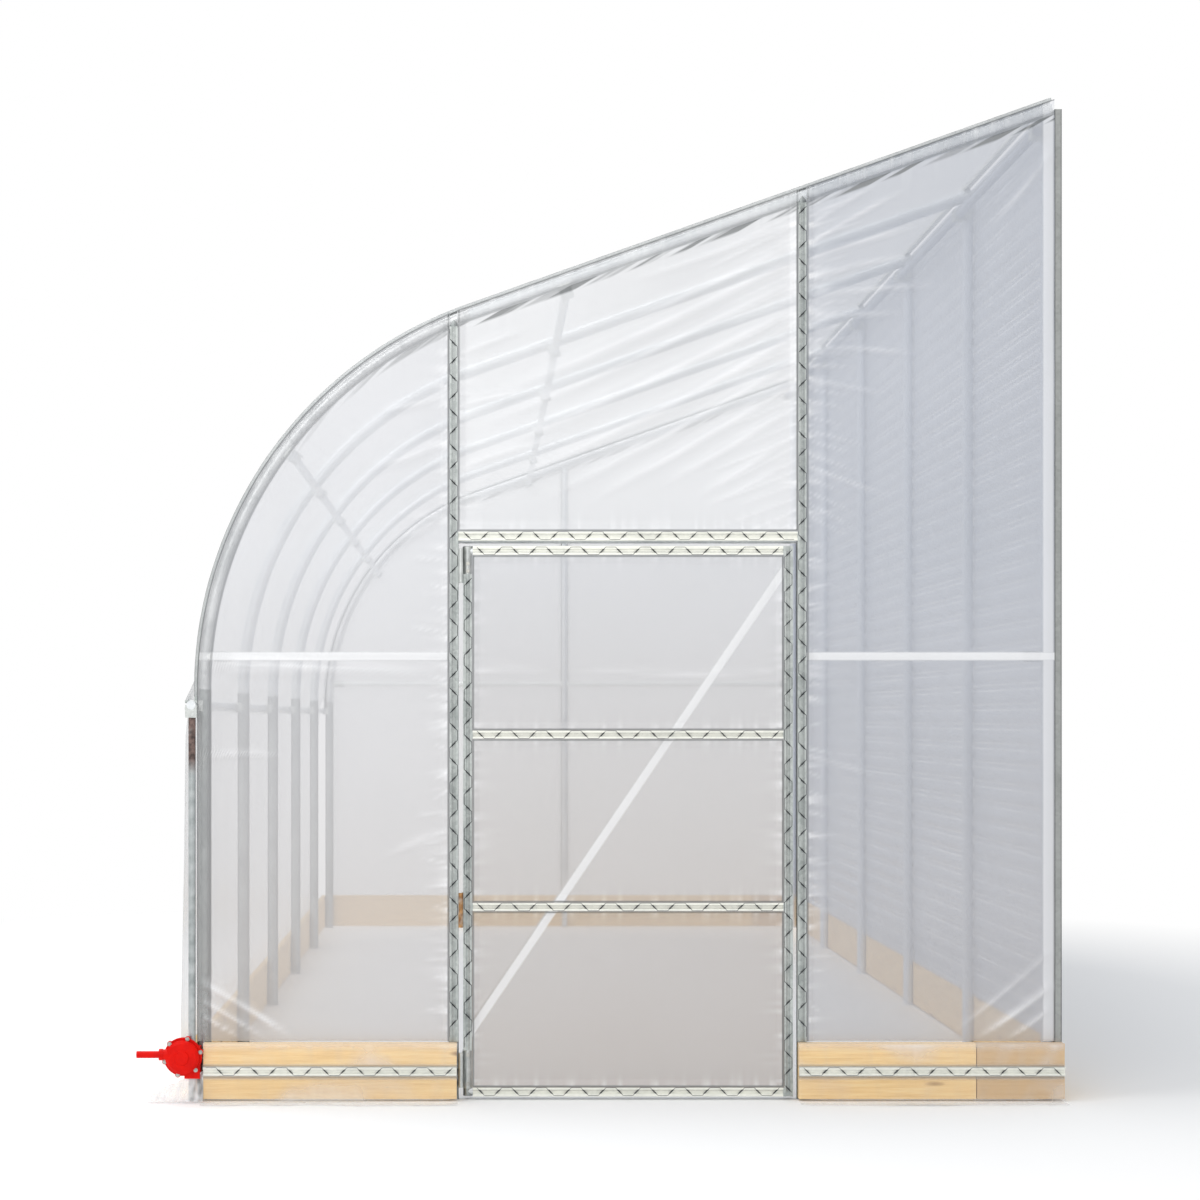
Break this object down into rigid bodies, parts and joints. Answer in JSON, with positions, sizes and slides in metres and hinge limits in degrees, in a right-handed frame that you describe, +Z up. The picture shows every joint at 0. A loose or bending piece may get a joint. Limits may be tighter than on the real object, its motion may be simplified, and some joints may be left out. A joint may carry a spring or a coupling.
{
  "type": "lean-to hoop greenhouse",
  "caption": "Lean-to film greenhouse on bent tube hoops, with a hinged framed door, baseboards and a roll-up side worked by a red hand crank.",
  "frame": {"origin": "foot of the front hoop's leg, on the ground, on the hoop's centre line", "axes": "+X from the low side to the wall side, +Y from the front end with the door to the back end, +Z up"},
  "size_m": [3.215, 6.2845, 3.4947],
  "materials": {
    "galvanised_tube": "galvanised, dull",
    "lock_channel": "satin",
    "zinc_fitting": "zinc plated, dull",
    "pine_board": "sawn, untreated",
    "film": "clear to milky film",
    "wall_sheet": "ribbed translucent sheet",
    "red_paint": "semi-gloss"
  },
  "bodies": {
    "frame": {"hoop_legs": "galvanised_tube", "end_hoop_bends": "galvanised_tube", "inner_hoop_bends": "galvanised_tube", "hoop_rafters": "galvanised_tube", "wall_posts": "galvanised_tube", "purlins": "galvanised_tube", "wall_rail": "galvanised_tube", "hip_rail": "galvanised_tube", "front_door_posts": "galvanised_tube", "front_header": "galvanised_tube", "end_girts": "galvanised_tube", "girt_sleeves": "zinc_fitting", "back_post": "galvanised_tube", "front_baseboards": "pine_board", "side_baseboard": "pine_board", "back_baseboard": "pine_board", "wall_baseboard": "pine_board", "end_hoop_channels": "lock_channel", "upright_channels": "lock_channel", "header_channel": "lock_channel", "corner_angles": "zinc_fitting", "board_channels": "lock_channel", "hip_channel": "lock_channel", "ridge_channel": "lock_channel", "front_left_film": "film", "front_right_film": "film", "front_top_film": "film", "back_film": "film", "board_aprons": "film", "eave_film": "film", "roof_film": "film", "roll_up_curtain": "film", "wall_sheet": "wall_sheet", "hinge_brackets": "zinc_fitting", "roll_tube": "galvanised_tube", "guide_pole": "galvanised_tube", "crank_gearbox": "red_paint", "rail_clamps": "zinc_fitting"},
    "door": {"door_stiles": "galvanised_tube", "door_rails": "galvanised_tube", "door_brace": "galvanised_tube", "door_stile_channels": "lock_channel", "door_rail_channels": "lock_channel", "door_film": "film", "hinge_straps": "zinc_fitting"},
    "crank": {"crank_shaft": "red_paint"}
  },
  "joints": [
    {"name": "door_hinge", "type": "hinge", "parent": "frame", "child": "door", "pos_m": [0.89625, -0.042, 1], "axis": [0, 0, 1], "range_deg": [-110, 0]},
    {"name": "crank_turn", "type": "hinge", "parent": "frame", "child": "crank", "pos_m": [-0.15, -0.0855, 0.166], "axis": [1, 0, 0], "continuous": true}
  ]
}
